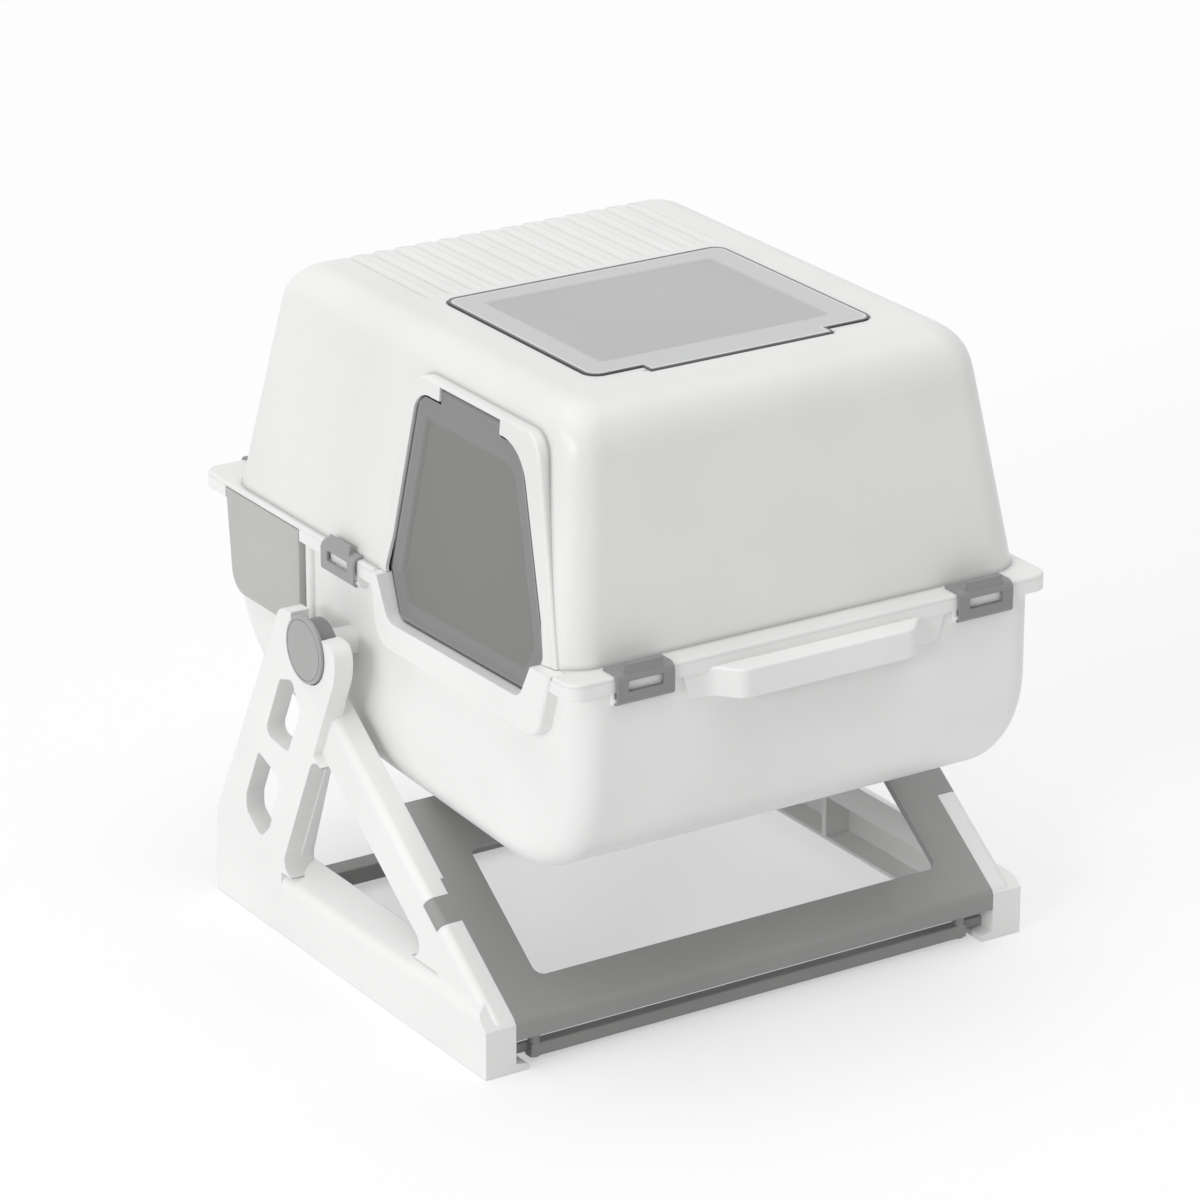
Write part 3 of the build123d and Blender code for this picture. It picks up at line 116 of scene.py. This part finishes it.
door_out = Vector((-math.cos(DOOR_LEAN), 0, math.sin(DOOR_LEAN)))
door_up = Vector((math.sin(DOOR_LEAN), 0, math.cos(DOOR_LEAN)))
door_plane = max(door_out.dot(v.co) for v in nodes["door_flap"].data.vertices)
lid_low, lid_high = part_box("window_lid")
lid_plane = lid_high[2]


# Node helpers

def new_material(name):
    material = bpy.data.materials.new(name)
    material.use_nodes = True
    material.node_tree.nodes.clear()
    return material, material.node_tree


def add(tree, kind, **values):
    """A shader node, with inputs set by name and other properties by attribute."""
    made = tree.nodes.new(kind)
    for key, value in values.items():
        if hasattr(made, key):
            setattr(made, key, value)
        else:
            made.inputs[key.replace("_", " ")].default_value = value
    return made


def finished(tree, shader, kind="ShaderNodeOutputMaterial"):
    out = add(tree, kind)
    tree.links.new(shader.outputs[0], out.inputs["Surface"])


def math_node(tree, operation, first, second):
    """A calculation with two sockets or constant numbers."""
    out = add(tree, "ShaderNodeMath", operation=operation)
    for socket, value in ((0, first), (1, second)):
        if isinstance(value, float):
            out.inputs[socket].default_value = value
        else:
            tree.links.new(value, out.inputs[socket])
    return out.outputs["Value"]


def vector_node(tree, operation, first, second=None):
    """A calculation with a vector socket and, where it is given, a constant vector."""
    out = add(tree, "ShaderNodeVectorMath", operation=operation)
    tree.links.new(first, out.inputs[0])
    if second is not None:
        out.inputs[1].default_value = second
    return out


def mixed(tree, factor, first, second):
    """A colour between two sockets or constant colours."""
    out = add(tree, "ShaderNodeMix", data_type="RGBA")
    tree.links.new(factor, out.inputs["Factor"])
    for socket, value in (("A", first), ("B", second)):
        if isinstance(value, tuple):
            out.inputs[socket].default_value = (*value, 1)
        else:
            tree.links.new(value, out.inputs[socket])
    return out.outputs["Result"]


def ranged(tree, value, low, high, start=0.3, end=0.7):
    """Goes from low to high while the value goes from start to end."""
    out = add(tree, "ShaderNodeMapRange", clamp=True, From_Min=start, From_Max=end, To_Min=low, To_Max=high)
    tree.links.new(value, out.inputs["Value"])
    return out.outputs["Result"]


def place_in_object(tree):
    return add(tree, "ShaderNodeTexCoord").outputs["Object"]


def noise(tree, scale, detail, roughness=0.5):
    """Noise in the object's own metres, so that scale is in features per metre."""
    out = add(tree, "ShaderNodeTexNoise", Scale=scale, Detail=detail, Roughness=roughness)
    tree.links.new(place_in_object(tree), out.inputs["Vector"])
    return out.outputs["Fac"]


def bump(tree, height, distance, normal):
    out = add(tree, "ShaderNodeBump", Strength=1.0, Distance=distance)
    tree.links.new(height, out.inputs["Height"])
    tree.links.new(normal, out.inputs["Normal"])
    return out.outputs["Normal"]


def edge_mask(tree, soft):
    """1 on sharp edges and 0 on flat or gently curved faces, from the bevelled normal."""
    geometry = add(tree, "ShaderNodeNewGeometry")
    dot = add(tree, "ShaderNodeVectorMath", operation="DOT_PRODUCT")
    tree.links.new(soft, dot.inputs[0])
    tree.links.new(geometry.outputs["Normal"], dot.inputs[1])
    return ranged(tree, dot.outputs["Value"], 1.0, 0.0, EDGE_RUBBED, EDGE_CLEAN)


def ray_mask(tree, *rays):
    """1 on the named kinds of ray and 0 on all others."""
    path = add(tree, "ShaderNodeLightPath")
    seen = path.outputs[rays[0]]
    for ray in rays[1:]:
        seen = math_node(tree, "MAXIMUM", seen, path.outputs[ray])
    return seen


def shader_by_ray(tree, mask, others, masked):
    pick = add(tree, "ShaderNodeMixShader")
    tree.links.new(mask, pick.inputs["Fac"])
    tree.links.new(others.outputs[0], pick.inputs[1])
    tree.links.new(masked.outputs[0], pick.inputs[2])
    return pick


# Moulded plastics

def moulded(name, colour, rough, grain=FINE_GRAIN, tint=0.025, crevice_shade=None):
    """Moulded plastic: fine grain, faint sink marks, uneven gloss, paler rubbed edges and, where a crevice
    shade colour is given, painted shade in its crevices.
    """
    material, tree = new_material(name)
    link = tree.links.new
    shader = add(tree, "ShaderNodeBsdfPrincipled")
    soft = add(tree, "ShaderNodeBevel", samples=4, Radius=EDGE_ROUND)
    cloud = ranged(tree, noise(tree, CLOUD_SCALE, 3.0), 0.0, 1.0)
    dark = tuple(c * (1 - tint) for c in colour)
    light = tuple(min(c * (1 + tint), 1.0) for c in colour)
    rubbed = tuple(min(c * 1.05 + 0.012, 0.95) for c in colour)
    base = mixed(tree, cloud, dark, light)
    shown = mixed(tree, edge_mask(tree, soft.outputs["Normal"]), base, rubbed)
    # painted shade: darker where the object's own faces close in around a point, as in the hood's vents and
    # seams
    if crevice_shade:
        sky = add(tree, "ShaderNodeAmbientOcclusion", samples=6, only_local=True, Distance=CREVICE_REACH)
        open_share = ranged(tree, sky.outputs["AO"], 0.0, 1.0, CREVICE_SHUT, CREVICE_OPEN)
        shown = mixed(tree, open_share, crevice_shade, shown)
    link(shown, shader.inputs["Base Color"])
    gloss = ranged(tree, noise(tree, GLOSS_SCALE, 4.0), rough - GLOSS_SWING, rough + GLOSS_SWING)
    link(gloss, shader.inputs["Roughness"])
    normal = bump(tree, noise(tree, SINK_SCALE, 1.0), SINK_DEPTH, soft.outputs["Normal"])
    normal = bump(tree, noise(tree, GRAIN_SCALE, 2.0, 0.6), grain, normal)
    link(normal, shader.inputs["Normal"])
    finished(tree, shader)
    return material


# Smoked sheets

def depth_mask(tree, across, low, high):
    """0 to 1 where a point's distance along a direction goes from low to high."""
    dot = vector_node(tree, "DOT_PRODUCT", place_in_object(tree), across)
    return ranged(tree, dot.outputs["Value"], 0.0, 1.0, low, high)


def outline_distance(tree, x_half, y_from, y_to, radius):
    """Distance in the x, y plane from a rounded rectangle, less than 0 inside it."""
    centre = (0, (y_from + y_to) / 2, 0)
    straight = (x_half - radius, (y_to - y_from) / 2 - radius, 1)
    centred = vector_node(tree, "SUBTRACT", place_in_object(tree), centre)
    folded = vector_node(tree, "ABSOLUTE", centred.outputs[0])
    past = vector_node(tree, "SUBTRACT", folded.outputs[0], straight)
    corner = vector_node(tree, "MAXIMUM", past.outputs[0])
    outside = vector_node(tree, "LENGTH", corner.outputs[0])
    parts = add(tree, "ShaderNodeSeparateXYZ")
    tree.links.new(past.outputs[0], parts.inputs[0])
    nearest = math_node(tree, "MAXIMUM", parts.outputs["X"], parts.outputs["Y"])
    inside = math_node(tree, "MINIMUM", nearest, 0.0)
    whole = math_node(tree, "ADD", outside.outputs["Value"], inside)
    return math_node(tree, "SUBTRACT", whole, radius)


def lid_distance(tree):
    """Distance from the lid's outline, less than 0 inside it: the sheet and the tab at its hinge."""
    front, rear = lid_low[1], lid_high[1]
    sheet = outline_distance(tree, lid_high[0], front + LID_TAB_DEPTH, rear - LID_FAR_LINE, LID_ROUND)
    tab = outline_distance(tree, LID_TAB_HALF, front, 0, LID_TAB_ROUND)
    return math_node(tree, "MINIMUM", sheet, tab)


def door_distance(tree):
    """Distance from the door's straight edges, less than 0 inside them; its hinge side is left out."""
    place = place_in_object(tree)
    furthest = None
    for (y, z), (next_y, next_z) in zip(DOOR_EDGES, DOOR_EDGES[1:]):
        length = math.hypot(next_y - y, next_z - z)
        across = (next_z - z) / length
        up = -(next_y - y) / length
        dot = vector_node(tree, "DOT_PRODUCT", place, Vector((0, across, 0)) + up * door_up)
        start = Vector((DOOR_FOOT.x, y, DOOR_FOOT.z)) + (z - DOOR_FOOT.z) * door_up
        offset = across * start.y + up * start.dot(door_up)
        line = math_node(tree, "SUBTRACT", dot.outputs["Value"], offset)
        furthest = line if furthest is None else math_node(tree, "MAXIMUM", furthest, line)
    return furthest


def smoked(name, middle, border, gap_shade, glint, rough, across, low, high, distance_from):
    """Smoky clear sheet: a darker sunk middle, a paler border that stands above it, painted gap shadow on
    its cut edges, and a painted shadow line and a painted glint just inside its outline."""
    material, tree = new_material(name)
    shader = add(tree, "ShaderNodeBsdfPrincipled", Roughness=rough, Alpha=SMOKE_ALPHA)
    shader.inputs["Specular IOR Level"].default_value = 0.4
    cloud = ranged(tree, noise(tree, SMOKE_SCALE, 0.0), 0.0, 1.0, 0.1, 0.9)
    sheet = mixed(tree, cloud, tuple(c * 0.95 for c in middle), tuple(c * 1.05 for c in middle))
    raised = mixed(tree, depth_mask(tree, across, low, high), sheet, border)
    distance = distance_from(tree)
    raised = mixed(tree, ranged(tree, distance, 0.0, 1.0, GLINT_START, GLINT_FULL), raised, glint)
    # painted shadow of the gap: a thin dark line just inside the outline
    raised = mixed(tree, ranged(tree, distance, 0.0, 1.0, GAP_SHADE_START, GAP_SHADE_FULL), raised, gap_shade)
    # faces that don't face along across, the cut edges, get the painted gap shadow too
    normal = add(tree, "ShaderNodeTexCoord").outputs["Normal"]
    facing = vector_node(tree, "DOT_PRODUCT", normal, across)
    side = ranged(tree, facing.outputs["Value"], 1.0, 0.0, 0.5, 0.7)
    tree.links.new(mixed(tree, side, raised, gap_shade), shader.inputs["Base Color"])
    finished(tree, shader)
    return material


# Looks of the pieces

white = moulded("white_satin_plastic", WHITE, 0.36)
# hood: a darker copy of the white plastic, as painted shade against the extra light it gets, with painted
# shade in its vents and seams
hood_shaded_white = moulded("hood_shaded_white_plastic", HOOD_SHADED_WHITE, 0.34, crevice_shade=CREVICE_SHADE)
stand_white = moulded("stand_white_plastic", WHITE, 0.42, grain=0.000014)
grey = moulded("grey_grained_plastic", GREY, 0.46, grain=0.00002, tint=0.04)
clip_grey = moulded("clip_grey_plastic", CLIP_GREY, 0.34, tint=0.04)
drawer_grey = moulded("drawer_grey_plastic", DRAWER_GREY, 0.42)
knob_grey = moulded("knob_grey_plastic", KNOB_GREY, 0.4, tint=0.03)
hub_grey = moulded("hub_grey_plastic", HUB_GREY, 0.45, tint=0.03)
# side clips: a paler copy of the clip grey, painted light
side_clip_lit_grey = moulded("side_clip_lit_grey_plastic", SIDE_CLIP_LIT_GREY, 0.34, tint=0.04)
door_smoke = smoked("smoked_door_plastic", SMOKE, SMOKE_BORDER, SMOKE_GAP_SHADE, SMOKE_GLINT, DOOR_ROUGH,
                    door_out, door_plane - DOOR_STEP, door_plane, door_distance)
lid_smoke = smoked("smoked_lid_plastic", LID_SMOKE, LID_BORDER, LID_GAP_SHADE, LID_GLINT, LID_ROUGH,
                   (0, 0, 1), lid_plane - LID_STEP, lid_plane, lid_distance)

LOOKS = {
    "left_side_frame": stand_white, "right_side_frame": stand_white,
    "front_panel_frame": grey, "front_base_bar": grey, "rear_cross_bar": grey,
    "tub": white, "hood": hood_shaded_white, "drawer_housing": white, "sieve_grid": white,
    "left_pivot_hub": hub_grey, "right_pivot_hub": hub_grey,
    "left_knob": knob_grey, "right_knob": knob_grey,
    "door_flap": door_smoke, "window_lid": lid_smoke, "waste_drawer": drawer_grey,
    "left_clip": side_clip_lit_grey, "right_clip": side_clip_lit_grey,
    "front_left_clip": clip_grey, "front_right_clip": clip_grey,
    "rear_left_clip": clip_grey, "rear_right_clip": clip_grey,
}

for node, item in nodes.items():
    if not item.material_slots:
        item.data.materials.append(LOOKS[node])
    for slot in item.material_slots:
        slot.material = LOOKS[node]


# Camera at the photograph's place

camera = bpy.data.objects.new("camera", bpy.data.cameras.new("camera"))
scene.collection.objects.link(camera)
camera.location = CAMERA_PLACE
camera.rotation_euler = CAMERA_TURN
camera.data.sensor_width = SENSOR_WIDTH
camera.data.lens = LENS
camera.data.clip_end = CAMERA_REACH
scene.camera = camera


# Floor and world, which look white to the camera and light the object less

corners = [(x * FLOOR_HALF, y * FLOOR_HALF, 0) for x, y in ((-1, -1), (1, -1), (1, 1), (-1, 1))]
floor_mesh = bpy.data.meshes.new("floor")
floor_mesh.from_pydata(corners, [], [(0, 1, 2, 3)])
floor = bpy.data.objects.new("floor", floor_mesh)
floor.location = (0, 0, -FLOOR_DROP)
scene.collection.objects.link(floor)
floor_look, tree = new_material("pale_floor")
pale = add(tree, "ShaderNodeBsdfDiffuse", Color=(FLOOR_PALE, FLOOR_PALE, FLOOR_PALE, 1))
dull = add(tree, "ShaderNodeBsdfDiffuse", Color=(FLOOR_DULL, FLOOR_DULL, FLOOR_DULL, 1))
glow = add(tree, "ShaderNodeEmission", Color=(1, 1, 1, 1), Strength=FLOOR_GLOW)
both = add(tree, "ShaderNodeAddShader")
tree.links.new(dull.outputs[0], both.inputs[0])
tree.links.new(glow.outputs[0], both.inputs[1])
finished(tree, shader_by_ray(tree, ray_mask(tree, "Is Camera Ray", "Is Glossy Ray"), pale, both))
floor_mesh.materials.append(floor_look)

world = bpy.data.worlds.new("studio")
scene.world = world
world.use_nodes = True
tree = world.node_tree
tree.nodes.clear()
plain = add(tree, "ShaderNodeBackground", Color=(1, 1, 1, 1), Strength=WORLD_LIGHT)
bright = add(tree, "ShaderNodeBackground", Color=(1, 1, 1, 1), Strength=WORLD_SEEN)
mask = ray_mask(tree, "Is Camera Ray", "Is Glossy Ray", "Is Transmission Ray")
finished(tree, shader_by_ray(tree, mask, plain, bright), "ShaderNodeOutputWorld")


# Soft suns

for name, towards, strength, width in LAMPS:
    lamp = bpy.data.lights.new(name, "SUN")
    lamp.energy = strength
    lamp.angle = math.radians(width)
    item = bpy.data.objects.new(name, lamp)
    item.rotation_euler = Vector(towards).to_track_quat("Z", "Y").to_euler()
    scene.collection.objects.link(item)

scene.view_settings.view_transform = "Standard"
